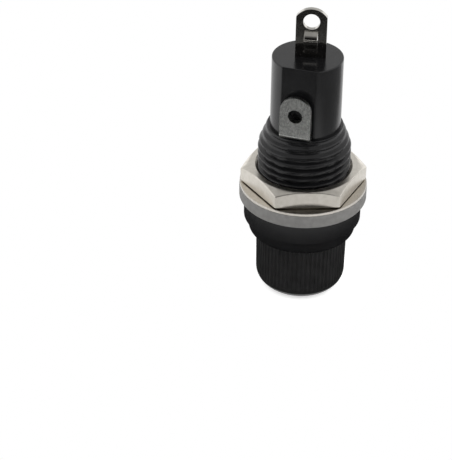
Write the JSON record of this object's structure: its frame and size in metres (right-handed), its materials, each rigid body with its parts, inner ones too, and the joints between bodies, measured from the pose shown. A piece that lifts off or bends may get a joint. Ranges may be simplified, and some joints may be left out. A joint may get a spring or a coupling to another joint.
{
  "type": "panel mount fuse holder",
  "caption": "Round panel mount holder for a cartridge fuse, with a fluted screw cap, collar, gasket, hexagon nut on a threaded shank, and side and rear solder lugs.",
  "frame": {"origin": "centre of the knob's flat end, on which the holder stands", "axes": "+Z along the holder's axis from the knob to the rear lug, the side lug and the flat of the barrel 11 degrees to the left of -Y"},
  "size_m": [0.0208, 0.0208, 0.0502],
  "materials": {
    "phenolic_black": "polished moulded phenolic",
    "knob_black": "satin moulded phenolic",
    "turned_brass": "turned",
    "spring_brass": "rolled spring strip",
    "satin_nickel": "satin nickel plate on brass strip",
    "bright_tin": "bright tin plate on brass strip",
    "spring_steel": "drawn wire",
    "grey_rubber": "moulded grey rubber",
    "clear_glass": "clear drawn tube",
    "bright_nickel": "bright nickel plate",
    "fuse_wire_tin": "tinned wire",
    "washer_nickel": "satin nickel plate",
    "nut_nickel": "satin nickel plate"
  },
  "bodies": {
    "holder": {"holder_body": "phenolic_black", "side_contact_sleeve": "turned_brass", "side_terminal": "satin_nickel", "rear_terminal": "bright_tin", "spring_seat": "turned_brass", "contact_spring": "spring_steel", "gasket": "grey_rubber"},
    "plunger": {"contact_plunger": "turned_brass"},
    "fuse": {"fuse_glass_tube": "clear_glass", "fuse_front_ferrule": "bright_nickel", "fuse_rear_ferrule": "bright_nickel", "fuse_wire": "fuse_wire_tin"},
    "cap": {"knob_cap": "knob_black", "cap_contact_tube": "turned_brass", "fuse_clip": "spring_brass"},
    "washer": {"flat_washer": "washer_nickel"},
    "nut": {"hex_nut": "nut_nickel"}
  },
  "joints": [
    {"name": "contact_follow", "type": "slide", "parent": "holder", "child": "plunger", "axis": [0, 0, -1], "range_m": [0, 0.00375], "deforming": ["contact_spring"]},
    {"name": "pull_out", "type": "slide", "parent": "plunger", "child": "fuse", "axis": [0, 0, -1], "range_m": [0, 0.03]},
    {"name": "cap_turn", "type": "hinge", "parent": "fuse", "child": "cap", "pos_m": [0, 0, 0.005], "axis": [0, 0, -1], "range_deg": [0, 1083]},
    {"name": "nut_advance", "type": "slide", "parent": "holder", "child": "washer", "axis": [0, 0, 1], "range_m": [0, 0.0075]},
    {"name": "nut_turn", "type": "hinge", "parent": "washer", "child": "nut", "pos_m": [0, 0, 0.021], "axis": [0, 0, 1], "range_deg": [0, 2163]}
  ],
  "couplings": [
    {"joint": "cap_turn", "follows": "contact_follow", "rad_per_m": 5026.5},
    {"joint": "nut_turn", "follows": "nut_advance", "rad_per_m": 5026.5}
  ]
}
